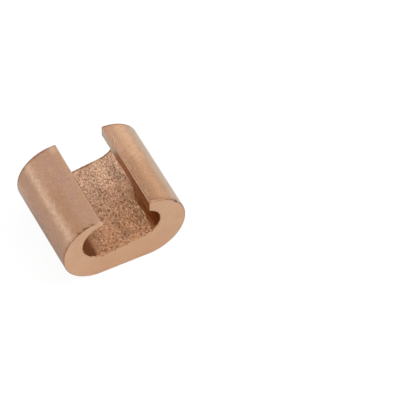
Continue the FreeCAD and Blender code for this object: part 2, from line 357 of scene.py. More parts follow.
def bar_mesh():
    """The closed surface of the bar: the wall grid, and a band grid on each end that shares the
    wall's first or last row. Also the material of each face and the marks on the wall's points."""
    loops = [section_loop(*lips) for lips in LIPS]
    loop = loops[0]
    on_wall, y, _ = along_bar()
    columns, rows = len(loop), len(y)
    skin = slice(0, BAND)
    grooves = slice(BAND + ACROSS, 2 * BAND + ACROSS)
    grit, cover = grit_relief(loop[grooves], y)
    drawn, burr, dent = skin_relief(loop[skin], y)
    relief = np.zeros((columns, rows))
    relief[grooves] = grit
    relief[skin] = drawn
    wall = wall_points(loops, relief)
    marks = {name: np.zeros((columns, rows)) for name in MARKS}
    marks["rim"][:, on_wall < 1] = 1
    marks["grit_level"][grooves] = grit / GRIT_HEIGHT
    marks["grit_cover"][grooves] = cover
    marks["facing"][:] = facing(loop)[:, None]
    marks["burr"][skin] = burr
    marks["dent"][skin] = dent

    index = np.arange(columns * rows).reshape(columns, rows)
    beside = np.roll(index, -1, axis=0)
    wall_quads = np.stack((index[:, :-1], index[:, 1:], beside[:, 1:], beside[:, :-1]), axis=-1)
    finish = np.full(columns, SKIN)
    finish[grooves] = GRIT
    points = [wall.reshape(-1, 3)]
    quads = [wall_quads.reshape(-1, 4)]
    slots = [np.repeat(finish, rows - 1)]
    inner = np.arange((BAND - 1) * (ACROSS - 1)).reshape(BAND - 1, ACROSS - 1)
    for end, row in enumerate((0, rows - 1)):
        band = end_grid(wall[:, row])
        ids = np.empty(band.shape[:2], int)
        ids[1:-1, 1:-1] = columns * rows + end * inner.size + inner
        ids[:, 0], ids[:, -1], ids[0], ids[-1] = (index[side, row] for side in end_columns(columns))
        corners = (ids[:-1, :-1], ids[1:, :-1], ids[1:, 1:], ids[:-1, 1:])
        quads.append(np.stack(corners[::-1] if end else corners, axis=-1).reshape(-1, 4))
        slots.append(np.full(len(quads[-1]), SAWN))
        points.append(band[1:-1, 1:-1].reshape(-1, 3))
    return np.vstack(points), np.vstack(quads), np.concatenate(slots), marks


def in_scene(name, data):
    """A new object of the scene."""
    made = bpy.data.objects.new(name, data)
    bpy.context.scene.collection.objects.link(made)
    return made


def bar_object(materials):
    """The bar as one object at the origin, with its marks, and its finishes in the order of their
    slots."""
    points, quads, slots, marks = bar_mesh()
    mesh = bpy.data.meshes.new("copper_bar")
    mesh.vertices.add(len(points))
    mesh.vertices.foreach_set("co", points.ravel())
    mesh.loops.add(quads.size)
    mesh.loops.foreach_set("vertex_index", quads.ravel())
    mesh.polygons.add(len(quads))
    mesh.polygons.foreach_set("loop_start", np.arange(0, quads.size, 4))
    mesh.polygons.foreach_set("material_index", slots)
    mesh.polygons.foreach_set("use_smooth", np.ones(len(quads), bool))
    mesh.update(calc_edges=True)
    for name, values in marks.items():
        attribute = mesh.attributes.new(name, "FLOAT", "POINT")
        filled = np.zeros(len(points), np.float32)
        filled[:values.size] = values.ravel()
        attribute.data.foreach_set("value", filled)
    for material in materials:
        mesh.materials.append(material)
    return in_scene("copper_bar", mesh)


# Shader helpers

def feed(tree, socket, value):
    """Link a socket to another, or set its own number or colour."""
    if isinstance(value, bpy.types.NodeSocket):
        tree.links.new(value, socket)
    else:
        socket.default_value = value


def feed_all(tree, node, inputs):
    """Feed a node's inputs, named or counted."""
    for key, value in dict(inputs).items():
        feed(tree, node.inputs[key], value)


def add(tree, kind, inputs=(), **settings):
    """Add a node, set its settings, and feed its inputs."""
    node = tree.nodes.new(kind)
    for name, value in settings.items():
        setattr(node, name, value)
    feed_all(tree, node, inputs)
    return node


def sum_of(tree, operation, *values):
    """The result of one sum on numbers."""
    return add(tree, "ShaderNodeMath", dict(enumerate(values)), operation=operation).outputs[0]


def vector_sum(tree, operation, *values, out="Vector"):
    """The result of one sum on vectors."""
    return add(tree, "ShaderNodeVectorMath", dict(enumerate(values)), operation=operation).outputs[out]


def scaled(tree, vector, scale):
    """A vector times a number."""
    inputs = {0: vector, "Scale": scale}
    return add(tree, "ShaderNodeVectorMath", inputs, operation="SCALE").outputs[0]


def chained(tree, operation, values):
    """One sum carried on through all the values in turn."""
    result = values[0]
    for value in values[1:]:
        result = sum_of(tree, operation, result, value)
    return result


def times(tree, *values):
    """All the values multiplied together."""
    return chained(tree, "MULTIPLY", values)


def plus(tree, *values):
    """All the values added together."""
    return chained(tree, "ADD", values)


def most(tree, *values):
    """The greatest of the values."""
    return chained(tree, "MAXIMUM", values)


def weighted(tree, *parts):
    """The sum of some values, each times its weight."""
    return plus(tree, *(times(tree, value, weight) for value, weight in parts))


def ramp(tree, value, low, high, start=0.0, end=1.0):
    """Smooth step of a value from start at low to end at high."""
    inputs = {"Value": value, "From Min": low, "From Max": high, "To Min": start, "To Max": end}
    return add(tree, "ShaderNodeMapRange", inputs, interpolation_type="SMOOTHSTEP").outputs["Result"]


def between(tree, value, rise, fall):
    """1 in a band of values, with soft edges where it rises and falls."""
    return times(tree, ramp(tree, value, *rise), ramp(tree, value, *fall, 1.0, 0.0))


def blend(tree, share, first, second):
    """Mix of two colours."""
    return add(tree, "ShaderNodeMix", {0: share, 6: first, 7: second}, data_type="RGBA").outputs[2]


def lit(tree, colour, level):
    """A colour made brighter or darker by a level about zero."""
    inputs = {"Color": colour, "Value": sum_of(tree, "ADD", level, 1.0)}
    return add(tree, "ShaderNodeHueSaturation", inputs).outputs[0]


def mark(tree, name):
    """A mark on the points of the mesh."""
    return add(tree, "ShaderNodeAttribute", attribute_name=name).outputs["Fac"]


def object_place(tree):
    """The place on the bar, in its own metres."""
    return add(tree, "ShaderNodeTexCoord").outputs["Object"]


def rgb(red, green, blue):
    """A colour written as it looks on screen, 0 to 255, as the linear colour that shaders take."""
    share = np.array((red, green, blue)) / 255
    linear = np.where(share <= 0.04045, share / 12.92, ((share + 0.055) / 1.055) ** 2.4)
    return (*linear.tolist(), 1.0)


def effect(name, inputs, outputs):
    """An empty node group with the sockets named, and its own input and output nodes."""
    tree = bpy.data.node_groups.new(name, "ShaderNodeTree")
    for title, kind in inputs.items():
        tree.interface.new_socket(title, in_out="INPUT", socket_type="NodeSocket" + kind)
    for title, kind in outputs.items():
        tree.interface.new_socket(title, in_out="OUTPUT", socket_type="NodeSocket" + kind)
    return tree, add(tree, "NodeGroupInput").outputs, add(tree, "NodeGroupOutput").inputs


def placed(tree, group, inputs):
    """The output of an effect placed in a material with its own values."""
    return add(tree, "ShaderNodeGroup", inputs, node_tree=group).outputs[0]


def drawn_place(tree, given):
    """The given place in units of a pattern's size, drawn out along the bar."""
    along = sum_of(tree, "DIVIDE", 1.0, given["Drawn"])
    stretch = add(tree, "ShaderNodeCombineXYZ", {"X": 1.0, "Y": along, "Z": 1.0})
    shaped = vector_sum(tree, "MULTIPLY", given["Place"], stretch.outputs[0])
    return scaled(tree, shaped, sum_of(tree, "DIVIDE", 1.0, given["Size"]))


def noise(tree, place, detail, roughness):
    """Fractal noise about 0.5, with about one wave in each unit of the place."""
    inputs = {"Vector": place, "Scale": 1.0, "Detail": detail, "Roughness": roughness}
    return add(tree, "ShaderNodeTexNoise", inputs).outputs["Fac"]


# Effects that the finishes share

PATTERN = {"Place": "Vector", "Size": "Float", "Drawn": "Float"}


def build_grain():
    """Fine mottle of one size about zero: noise less its middle, times four."""
    tree, given, out = effect("grain", PATTERN, {"Level": "Float"})
    place = drawn_place(tree, given)
    about_zero = sum_of(tree, "SUBTRACT", noise(tree, place, 2.0, 0.6), 0.5)
    feed(tree, out["Level"], times(tree, about_zero, 4.0))
    return tree


def build_specks():
    """Scattered small spots, one in each cell that keeps its spot: a smooth step on the distance
    to the cell's point, where the cell's random number is under Share."""
    inputs = {**PATTERN, "Radius": "Float", "Share": "Float"}
    tree, given, out = effect("specks", inputs, {"Spot": "Float"})
    place = drawn_place(tree, given)
    cells = add(tree, "ShaderNodeTexVoronoi", {"Vector": place, "Scale": 1.0})
    number = add(tree, "ShaderNodeSeparateColor", {0: cells.outputs["Color"]}).outputs["Red"]
    kept = sum_of(tree, "LESS_THAN", number, given["Share"])
    inner = times(tree, given["Radius"], 0.4)
    spot = ramp(tree, cells.outputs["Distance"], inner, given["Radius"], 1.0, 0.0)
    feed(tree, out["Spot"], times(tree, spot, kept))
    return tree


def build_scratch():
    """A straight scratch: a smooth step on the distance to the line between two points."""
    inputs = {"Place": "Vector", "From": "Vector", "To": "Vector", "Width": "Float"}
    tree, given, out = effect("scratch", inputs, {"Mark": "Float"})
    line = vector_sum(tree, "SUBTRACT", given["To"], given["From"])
    reach = vector_sum(tree, "SUBTRACT", given["Place"], given["From"])
    dot = vector_sum(tree, "DOT_PRODUCT", reach, line, out="Value")
    square = vector_sum(tree, "DOT_PRODUCT", line, line, out="Value")
    share = add(tree, "ShaderNodeMath", {0: dot, 1: square}, operation="DIVIDE", use_clamp=True)
    foot = scaled(tree, line, share.outputs[0])
    away = vector_sum(tree, "DISTANCE", reach, foot, out="Value")
    inner = times(tree, given["Width"], 0.3)
    feed(tree, out["Mark"], ramp(tree, away, inner, given["Width"], 1.0, 0.0))
    return tree


def build_near_end():
    """How near a sawn end a place is: 1 for a third of Reach from the end, 0 from Reach inwards."""
    tree, given, out = effect("near_end", {"Place": "Vector", "Reach": "Float"}, {"Near": "Float"})
    along = add(tree, "ShaderNodeSeparateXYZ", {0: given["Place"]}).outputs["Y"]
    away = sum_of(tree, "SUBTRACT", HALF_LENGTH, sum_of(tree, "ABSOLUTE", along))
    plain = sum_of(tree, "DIVIDE", given["Reach"], 3.0)
    feed(tree, out["Near"], ramp(tree, away, plain, given["Reach"], 1.0, 0.0))
    return tree


GRAIN = build_grain()
SPECKS = build_specks()
SCRATCH = build_scratch()
NEAR_END = build_near_end()


def cleared(owner):
    """The emptied node tree of a material or a world."""
    owner.use_nodes = True
    owner.node_tree.nodes.clear()
    return owner.node_tree


def material(name):
    """An empty node material with its output and a Principled shader of bare metal."""
    made = bpy.data.materials.new(name)
    tree = cleared(made)
    shader = add(tree, "ShaderNodeBsdfPrincipled", {"Metallic": 1.0})
    add(tree, "ShaderNodeOutputMaterial", {"Surface": shader.outputs["BSDF"]})
    return made, tree, shader


def bump(tree, height, depth):
    """Normal of a surface whose height goes up and down by depth."""
    inputs = {"Height": height, "Distance": depth, "Strength": 1.0}
    return add(tree, "ShaderNodeBump", inputs).outputs[0]


# Finishes

class Coats:
    """The tone of a finish, built up coat by coat. A coat goes over the last ones by the product
    of its shares and its strength."""

    def __init__(self, tree, tone):
        self.tree = tree
        self.tone = tone

    def over(self, colour, *shares, strength=1.0):
        """Put on a coat of a colour."""
        if strength < 1.0:
            shares += (strength,)
        self.tone = blend(self.tree, times(self.tree, *shares), self.tone, colour)

    def lit(self, level):
        """Make it brighter or darker by a level about zero."""
        self.tone = lit(self.tree, self.tone, level)


def grain(tree, place, size, drawn):
    """The grain effect at one size, drawn out along the bar."""
    return placed(tree, GRAIN, {"Place": place, "Size": size, "Drawn": drawn})


def scratch(tree, place, start, end, width):
    """The scratch effect between two points."""
    return placed(tree, SCRATCH, {"Place": place, "From": start, "To": end, "Width": width})


def near_end(tree, place, reach):
    """The near-end effect with one reach."""
    return placed(tree, NEAR_END, {"Place": place, "Reach": reach})


def on_skin(x, y):
    """A point of the skin over a place x, y in millimetres, on the run shoulder where x is less
    than zero and on the tap shoulder elsewhere: z = centre + root(radius^2 - dx^2)."""
    radius = RUN_SHOULDER if x < 0 else TAP_SHOULDER
    x, y = mm(x, y)
    rise = math.sqrt(radius ** 2 - (abs(x) - HALF_WIDTH + radius) ** 2)
    return Vector((x, y, HEIGHT - radius + rise))


# Tones of the drawn skin
ROSE = rgb(196, 154, 134)
AMBER = rgb(198, 155, 123)
GOLDEN = rgb(186, 141, 109)
# a darker tone down the run side
RUN_SIDE_TONE = rgb(187, 146, 121)
STRAW = rgb(212, 178, 140)
# painted highlight streak along the run shoulder
STREAK_HIGHLIGHT = rgb(204, 166, 137)
TAP_FAR = rgb(204, 160, 132)
TAP_DULL = rgb(190, 144, 120)
# painted highlight on the tap lip's top
TAP_HIGHLIGHT = rgb(206, 168, 130)
# painted reflection of the white surroundings on the tap side
SIDE_REFLECTION = rgb(196, 165, 136)
# painted shade and a painted pale reflection on the tap lip's mouth face, and painted shade at its
# foot
MOUTH_SHADE = rgb(170, 114, 62)
MOUTH_REFLECTION = rgb(188, 162, 134)
MOUTH_FOOT_SHADE = rgb(112, 70, 42)
SCORED = rgb(112, 78, 56)
BRIGHT = rgb(236, 206, 182)
GLINT = rgb(250, 244, 238)
# painted highlight on the burr and painted shade at its foot
BURR_HIGHLIGHT = rgb(208, 172, 146)
BURR_FOOT_SHADE = rgb(128, 80, 62)
STAIN = rgb(150, 104, 74)
RIM_BROWN = rgb(134, 92, 60)
RIM_GOLDEN = rgb(150, 104, 60)
CORNER_PALE = rgb(228, 198, 172)
# painted light and painted shade on the run lip's nose
NOSE_LIGHT = rgb(255, 224, 200)
NOSE_SHADE = rgb(170, 126, 90)
DENT_GREY = rgb(88, 80, 74)

# Bands round the outside, in degrees of the way it faces, as facing() counts them on: 540 is the
# tap lip's mouth face. A band comes in over its first pair and goes out over its second.
RUN_SIDE_BAND = ((144.0, 154.0), (168.0, 177.0))
GOLDEN_BAND = ((106.0, 120.0), (127.0, 137.0))
STREAK_BAND = ((132.0, 139.0), (145.0, 156.0))
LINED_BAND = ((94.0, 100.0), (113.0, 120.0))
CORNER_BAND = ((88.0, 92.0), (96.0, 104.0))
# where the painted reflection on the tap side and the tap top's painted highlight lie
SIDE_REFLECTION_BAND = ((370.0, 385.0), (407.0, 413.0))
TAP_TOP_BAND = ((407.0, 413.0), (455.0, 470.0))
TAP_HIGHLIGHT_BAND = ((408.0, 414.0), (430.0, 440.0))
TAP_RIM_BAND = ((330.0, 345.0), (388.0, 396.0))
GOLDEN_RIM_BAND = ((300.0, 330.0), (392.0, 402.0))
NOSE = (20.0, 50.0)
DULL_NOSE = (25.0, 50.0)
STRAW_EDGE = (94.0, 102.0)
MOUTH_FACE = (500.0, 530.0)
MOUTH_FACE_FOOT = (560.0, 600.0)

# Stretches along the bar over which one tone gives way to another
NEAR_HALF = mm(-2.0, 5.0)
MIDDLE = mm(-1.0, 1.0)
TAP_HIGHLIGHT_STRETCH = mm(-1.0, 4.0)
MOUTH_STRETCH = mm(2.4, 5.0)
CORNER_STRETCH = mm(6.6, 8.2)
NOSE_STRETCH = mm(-5.0, 3.0)
DULL_STRETCH = mm(-3.0, 3.0)

BURR_SHADE_BAND = ((0.02, 0.12), (0.25, 0.5))    # of the burr's own mark, from 0 to 1
STAIN_REACH = 0.9 * MM
RIM_REACH, WIDE_RIM_REACH = mm(0.3, 0.42)
BAND_WANDER = 3.5               # degrees by which a pattern of one shifts the bands
HALF_WANDER = 2.2 * MM          # and by how much it shifts where the near half ends
SKIN_ROUGH = 0.3
SKIN_BUMP = 0.0032 * MM
DULL_METALLIC = 0.3

# Single marks: colour, strength, from, to, and width in millimetres
SCRATCHES = (
    # Lines along the tap lip's top edge: partly scratches, partly painted light and shade of its
    # rounding
    (SCORED, 0.5, on_skin(4.74, -8.2), on_skin(4.78, -1.4), 0.1),
    (SCORED, 0.3, on_skin(5.02, -6.0), on_skin(5.06, 2.5), 0.09),
    (BRIGHT, 0.3, on_skin(4.9, -7.5), on_skin(4.94, 4.0), 0.09),
    (SCORED, 0.6, on_skin(4.64, 4.7), on_skin(5.0, 5.8), 0.09),
    (BRIGHT, 0.6, on_skin(4.80, 4.7), on_skin(5.25, 6.1), 0.1),
    (SCORED, 0.9, on_skin(-7.0, -8.62), on_skin(-7.2, -8.5), 0.2),
    (SCORED, 0.8, on_skin(-7.96, -8.7), on_skin(-8.15, -8.55), 0.17),
    # a painted glint by the dent
    (GLINT, 1.0, on_skin(9.68, -8.72), on_skin(9.8, -8.78), 0.24),
)


class Skin:
    """Places on the drawn skin, along the bar and by the way it faces, and its patterns, from
    broad patches to the fine lines of the drawing."""

    def __init__(self, tree):
        self.place = place = object_place(tree)
        self.along = add(tree, "ShaderNodeSeparateXYZ", {0: place}).outputs["Y"]
        self.side = mark(tree, "facing")
        self.patch = grain(tree, place, 0.8 * MM, 1.5)
        self.tint = grain(tree, place, 0.42 * MM, 1.3)
        self.mottle = grain(tree, place, 0.2 * MM, 1.2)
        self.drag = grain(tree, place, 0.13 * MM, 9.0)
        broad = grain(tree, place, 2.4 * MM, 1.5)
        self.mixed = plus(tree, broad, self.patch, times(tree, self.tint, 0.6))
        self.facing = plus(tree, self.side, times(tree, self.mixed, BAND_WANDER))
        wandering = plus(tree, self.along, times(tree, self.mixed, HALF_WANDER))
        self.near_half = ramp(tree, wandering, *NEAR_HALF, 1.0, 0.0)


def run_coats(tree, skin, coats):
    """A darker tone down the run side, and on its lip a golden band over the near half and a straw
    edge over the far one."""
    coats.over(RUN_SIDE_TONE, between(tree, skin.facing, *RUN_SIDE_BAND))
    coats.over(GOLDEN, between(tree, skin.facing, *GOLDEN_BAND), skin.near_half, strength=0.75)
    far_half = ramp(tree, skin.near_half, 0.0, 1.0, 0.15, 0.0)
    coats.over(STRAW, ramp(tree, skin.facing, *STRAW_EDGE, 1.0, 0.0), far_half)


def tap_coats(tree, skin, coats):
    """The tap lip's top, dull in places and with a painted highlight towards its far end, and a
    painted reflection on the side below.
    """
    top = Coats(tree, blend(tree, skin.near_half, TAP_FAR, GOLDEN))
    top.over(TAP_DULL, ramp(tree, skin.patch, -1.0, -0.1, 1.0, 0.0), strength=0.4)
    growing = ramp(tree, skin.along, *TAP_HIGHLIGHT_STRETCH, 0.2, 0.6)
    uneven = ramp(tree, plus(tree, skin.patch, skin.tint), -0.9, 0.5, 0.4, 1.0)
    top.over(TAP_HIGHLIGHT, between(tree, skin.facing, *TAP_HIGHLIGHT_BAND), growing, uneven)
    coats.over(top.tone, between(tree, skin.facing, *TAP_TOP_BAND))
    coats.over(SIDE_REFLECTION, between(tree, skin.facing, *SIDE_REFLECTION_BAND))


def mouth_coats(tree, skin, coats):
    """The tap lip's mouth face in painted brown shade, darker at its foot, and a painted pale
    reflection past the bar's middle.
    """
    far = ramp(tree, skin.along, *MOUTH_STRETCH)
    coats.over(blend(tree, far, MOUTH_SHADE, MOUTH_REFLECTION), ramp(tree, skin.side, *MOUTH_FACE))
    at_foot = ramp(tree, skin.side, *MOUTH_FACE_FOOT)
    coats.over(MOUTH_FOOT_SHADE, at_foot, ramp(tree, far, 0.0, 1.0, 0.85, 0.45))


def mottle_coats(tree, skin, coats):
    """A broken painted highlight streak along the run shoulder, the mottle, and the lines of the
    drawing.
    """
    breaks = ramp(tree, weighted(tree, (skin.patch, 1.2), (skin.tint, 0.8)), -0.7, 0.6)
    coats.over(STREAK_HIGHLIGHT, between(tree, skin.facing, *STREAK_BAND), breaks, strength=0.85)
    coats.lit(weighted(tree, (skin.patch, 0.04), (skin.tint, 0.05), (skin.mottle, 0.15),
                       (skin.drag, 0.05)))
    lines = ramp(tree, skin.drag, 0.3, 0.9)
    coats.over(SCORED, lines, between(tree, skin.facing, *LINED_BAND), strength=0.3)


def wear_coats(tree, skin, coats):
    """The single marks, the burr at the tap lip's near rim with a painted highlight and painted
    shade at its foot, and the stain behind both rims.
    """
    for colour, strength, start, end, width in SCRATCHES:
        coats.over(colour, scratch(tree, skin.place, start, end, width * MM), strength=strength)
    burr = mark(tree, "burr")
    coats.over(BURR_HIGHLIGHT, ramp(tree, burr, 0.35, 0.7), strength=0.25)
    coats.over(BURR_FOOT_SHADE, between(tree, burr, *BURR_SHADE_BAND), strength=0.75)
    spread = ramp(tree, plus(tree, skin.patch, skin.tint), -0.2, 0.9)
    off_lip = ramp(tree, skin.side, 92.0, 100.0)
    less_behind = ramp(tree, skin.side, 140.0, 175.0, 1.0, 0.35)
    coats.over(STAIN, near_end(tree, skin.place, STAIN_REACH), spread, less_behind, off_lip,
               strength=0.75)


def rim_coats(tree, skin, coats):
    """The brown line of the sawn edges: patchy round the near one, but whole on its tap side, and
    nearly whole round the far one. Near the run lip's nose the near one's fades out."""
    far = ramp(tree, skin.along, *MIDDLE)
    tap_rim = between(tree, skin.side, *TAP_RIM_BAND)
    reach = most(tree, ramp(tree, skin.along, *MIDDLE, RIM_REACH, WIDE_RIM_REACH),
                 times(tree, tap_rim, WIDE_RIM_REACH))
    on_run_side = times(tree, ramp(tree, skin.side, 92.0, 106.0, 0.15, 1.0),
                        ramp(tree, skin.side, 160.0, 190.0, 1.0, 0.45))
    on_tap_side = ramp(tree, skin.side, 300.0, 330.0, 0.0, 0.55)
    off_nose = most(tree, plus(tree, on_run_side, on_tap_side), far)
    past_back = ramp(tree, skin.side, 220.0, 300.0)
    whole = times(tree, far, ramp(tree, past_back, 0.0, 1.0, 0.72, 0.5),
                  ramp(tree, skin.side, 95.0, 112.0, 0.6, 1.0))
    patchy = ramp(tree, skin.tint, -0.8, 0.6, 0.2, 0.65)
    kept = most(tree, patchy, whole, times(tree, tap_rim, 0.8))
    tone = blend(tree, between(tree, skin.side, *GOLDEN_RIM_BAND), RIM_BROWN, RIM_GOLDEN)
    coats.over(tone, near_end(tree, skin.place, reach), off_nose, kept)


def nose_coats(tree, skin, coats):
    """A pale far corner on the run lip, painted light on its nose towards the near end and painted
    shade towards the far one, and the dent's dark bottom on the tap lip.
    """
    corner = ramp(tree, skin.along, *CORNER_STRETCH)
    coats.over(CORNER_PALE, corner, between(tree, skin.side, *CORNER_BAND), strength=0.5)
    nose = blend(tree, ramp(tree, skin.along, *NOSE_STRETCH), NOSE_LIGHT, NOSE_SHADE)
    coats.over(nose, ramp(tree, skin.side, *NOSE, 0.9, 0.0))
    coats.over(DENT_GREY, mark(tree, "dent"), strength=0.9)


def drawn_skin():
    """The outside, as the drawing left it and a little tarnished. The near half of the run lip's
    nose is duller."""
    made, tree, shader = material("drawn_skin")
    skin = Skin(tree)
    coats = Coats(tree, blend(tree, ramp(tree, skin.mixed, -1.8, 1.8), ROSE, AMBER))
    for coat in (run_coats, tap_coats, mouth_coats, mottle_coats, wear_coats, rim_coats, nose_coats):
        coat(tree, skin, coats)
    dull = times(tree, ramp(tree, skin.side, *DULL_NOSE, 1.0, 0.0),
                 ramp(tree, skin.along, *DULL_STRETCH, 1.0, 0.0))
    relief = plus(tree, skin.mottle, times(tree, skin.drag, 0.3))
    feed_all(tree, shader, {
        "Base Color": coats.tone,
        "Metallic": ramp(tree, dull, 0.0, 1.0, 1.0, DULL_METALLIC),
        "Roughness": plus(tree, weighted(tree, (skin.patch, 0.02), (skin.mottle, 0.04)), SKIN_ROUGH),
        "Normal": bump(tree, relief, SKIN_BUMP)})
    return made


# Tones inside the grooves
GRIT_NEAR = rgb(212, 158, 120)
GRIT_FAR = rgb(210, 168, 140)
BARE_DARK = rgb(158, 114, 76)
BARE_LIGHT = rgb(184, 143, 103)
# painted shade low on the run groove's wall
BARE_SHADE = rgb(128, 82, 48)
# painted highlight on the grit's ridges, and painted shade in its hollows and pits
RIDGE_HIGHLIGHT = rgb(246, 214, 184)
HOLLOW_SHADE = rgb(126, 80, 54)
# painted highlight specks at the grit's border, painted shadow on the tap wall, painted crease shade
SPECK_HIGHLIGHT = rgb(255, 232, 204)
SHADOW_DARK = rgb(142, 88, 48)
SHADOW_LIGHT = rgb(178, 124, 76)
CREASE_SHADE = rgb(118, 68, 32)
STROKE_BED = rgb(140, 95, 62)
STROKE = rgb(255, 214, 168)
GROOVE_RIM_NEAR = rgb(128, 82, 48)
GROOVE_RIM_FAR = rgb(150, 103, 58)
# painted light on the grooves' rounded near rim
RIM_EDGE_LIGHT = rgb(208, 167, 134)
FAR_GLINT = rgb(236, 200, 164)

# Painted patches of light and shade on the grit: level, then middle x and y and reach in
# millimetres, and how long for its width
GRIT_LIGHT_PATCHES = (
    (0.26, 2.9, 4.6, 1.8, 2.1),
    (-0.22, 4.8, 4.8, 1.2, 2.2),
    (0.12, -1.8, -5.0, 2.0, 1.4),
    (-0.04, 0.4, 3.0, 1.4, 2.0),
    (-0.22, -4.8, -7.6, 1.6, 1.6),
    (-0.32, 4.3, -5.8, 1.3, 1.3),
    (-0.25, -2.9, -4.7, 1.0, 1.3),
    (-0.22, 1.0, -7.0, 1.7, 1.0),
    (-0.2, 5.1, 2.8, 0.9, 1.6),
    (0.24, -0.2, 6.1, 1.0, 1.3),
    (-0.2, 4.6, -1.2, 1.2, 1.6),
    (-0.15, 0.9, -3.4, 1.1, 1.2),
)
PATCH_CORE = 0.3                # share of a patch's reach that has its whole level
PATCH_WANDER = 0.4 * MM
FAR_WANDER = 1.5 * MM

# Bands across the bar, along it, and beyond the border where the grit stops at the tap wall
RUN_SHADE = (mm(-5.5, -5.1), mm(-4.6, -3.9))
TAP_HALF = mm(1.2, 2.6)
STROKES_ACROSS = (mm(3.9, 4.6), mm(5.3, 5.6))
STROKES_ALONG = (mm(-7.6, -5.6), mm(-2.0, -0.6))
GRIT_FAR_STRETCH = mm(-7.0, 6.0)
SHADOW_LIFTED = mm(-7.2, -4.6)
BORDER = 5.95 * MM
BORDER_WANDER = 0.05 * MM
BORDER_SOFT, BORDER_SHARP, BORDER_PAST = mm(0.55, 0.05, 0.1)
SPECK_HIGHLIGHT_BAND = (mm(-0.55, -0.3), mm(-0.1, 0.02))
CREASE_SHADE_BAND = (mm(-0.04, 0.02), mm(0.08, 0.2))

GROOVE_RIM_REACH = 0.5 * MM
FAR_GLINT_LINE = (mm(2.9, 8.6, 5.47), mm(3.7, 8.6, 5.6))
FAR_GLINT_WIDTH = 0.4 * MM
BARE_ROUGH, GRIT_ROUGH = 0.36, 0.5
GRIT_BUMP = 0.022 * MM


class GrooveWall:
    """Places in the grooves, how much grit lies there and how high, and its patterns. Beyond is
    the distance past the border where the grit stops at the tap wall, which leans as it does."""

    def __init__(self, tree):
        self.place = place = object_place(tree)
        self.across, self.along, _ = add(tree, "ShaderNodeSeparateXYZ", {0: place}).outputs
        self.cover = mark(tree, "grit_cover")
        self.level = mark(tree, "grit_level")
        self.broad = grain(tree, place, 1.8 * MM, 1.4)
        self.grain = grain(tree, place, 0.22 * MM, 1.7)
        self.smear = grain(tree, place, 0.35 * MM, 7.0)
        self.strokes = grain(tree, place, 0.24 * MM, 6.0)
        self.pits = placed(tree, SPECKS, {
            "Place": place, "Size": 0.42 * MM, "Drawn": 1.5, "Radius": 0.36, "Share": 0.35})
        wandering = plus(tree, self.along, times(tree, self.broad, FAR_WANDER))
        self.far = ramp(tree, wandering, *GRIT_FAR_STRETCH)
        self.past_middle = ramp(tree, self.along, LEAN_FROM, LEAN_TO)
        lean = ramp(tree, self.along, LEAN_FROM, LEAN_TO, GRIT_LEAN, 0.0)
        leaning = plus(tree, self.across, lean, times(tree, self.smear, BORDER_WANDER))
        self.beyond = sum_of(tree, "SUBTRACT", leaning, BORDER)


def bare_wall(tree, wall):
    """The tone of streaky bare copper, with painted shade low on the run groove's wall."""
    bare = Coats(tree, blend(tree, ramp(tree, wall.smear, -0.2, 1.0), BARE_DARK, BARE_LIGHT))
    bare.over(BARE_SHADE, between(tree, wall.across, *RUN_SHADE), strength=0.25)
    return bare.tone


def grit_coats(tree, wall, coats):
    """The grit a little lighter and darker by a finer grain, painted highlights on its ridges and
    painted shade in its hollows and pits, from its real relief and that grain.
    """
    coats.lit(times(tree, wall.grain, wall.cover, 0.26))
    height = weighted(tree, (wall.level, 0.4), (wall.grain, 1.4))
    more_far = ramp(tree, wall.far, 0.0, 1.0, 0.65, 0.9)
    coats.over(RIDGE_HIGHLIGHT, ramp(tree, height, 0.1, 1.3), wall.cover, more_far)
    hollow = ramp(tree, height, -1.7, -0.5, 1.0, 0.0)
    dark = most(tree, times(tree, wall.pits, 0.7), times(tree, hollow, 0.85))
    coats.over(HOLLOW_SHADE, dark, wall.cover)


def patch_coats(tree, wall, coats):
    """Painted uneven light and shade over the grit: a broad pattern, more of the light on the tap
    half, and the patches, each a smooth step on the stretched distance from its middle."""
    levels = [times(tree, wall.broad, 0.09), ramp(tree, wall.across, *TAP_HALF, 0.0, 0.1)]
    for level, *sizes, drawn in GRIT_LIGHT_PATCHES:
        x, y, reach = mm(*sizes)
        stretched = vector_sum(tree, "MULTIPLY", wall.place, (1.0, 1.0 / drawn, 0.0))
        away = vector_sum(tree, "DISTANCE", stretched, (x, y / drawn, 0.0), out="Value")
        uneven = plus(tree, away, times(tree, wall.broad, PATCH_WANDER))
        levels.append(ramp(tree, uneven, PATCH_CORE * reach, reach, level, 0.0))
    coats.lit(times(tree, plus(tree, *levels), wall.cover))


def tap_wall_coats(tree, wall, coats):
    """Painted bright specks of highlight at the border of the grit, a painted shadow on the wall
    beyond it, which comes in softly over the near half, and painted shade in a dark crease along it
    past the middle."""
    speck_breaks = ramp(tree, plus(tree, wall.smear, wall.grain), 0.0, 1.0)
    coats.over(SPECK_HIGHLIGHT, between(tree, wall.beyond, *SPECK_HIGHLIGHT_BAND), wall.past_middle, speck_breaks,
               strength=0.35)
    shadow = Coats(tree, blend(tree, ramp(tree, wall.smear, -0.6, 0.8), SHADOW_DARK, SHADOW_LIGHT))
    shadow.lit(ramp(tree, wall.along, *SHADOW_LIFTED, 0.1, 0.0))
    soft = ramp(tree, wall.past_middle, 0.0, 1.0, BORDER_SOFT, BORDER_SHARP)
    coats.over(shadow.tone, ramp(tree, wall.beyond, times(tree, soft, -1.0), BORDER_PAST))
    coats.over(CREASE_SHADE, between(tree, wall.beyond, *CREASE_SHADE_BAND), wall.past_middle, strength=0.7)


def stroke_coats(tree, wall, coats):
    """Long light strokes at the foot of the tap wall over the near half, on a darker bed."""
    hatched = times(tree, between(tree, wall.across, *STROKES_ACROSS),
                    between(tree, wall.along, *STROKES_ALONG))
    coats.over(STROKE_BED, hatched, strength=0.6)
    coats.over(STROKE, hatched, ramp(tree, wall.strokes, 0.0, 0.45), strength=0.9)


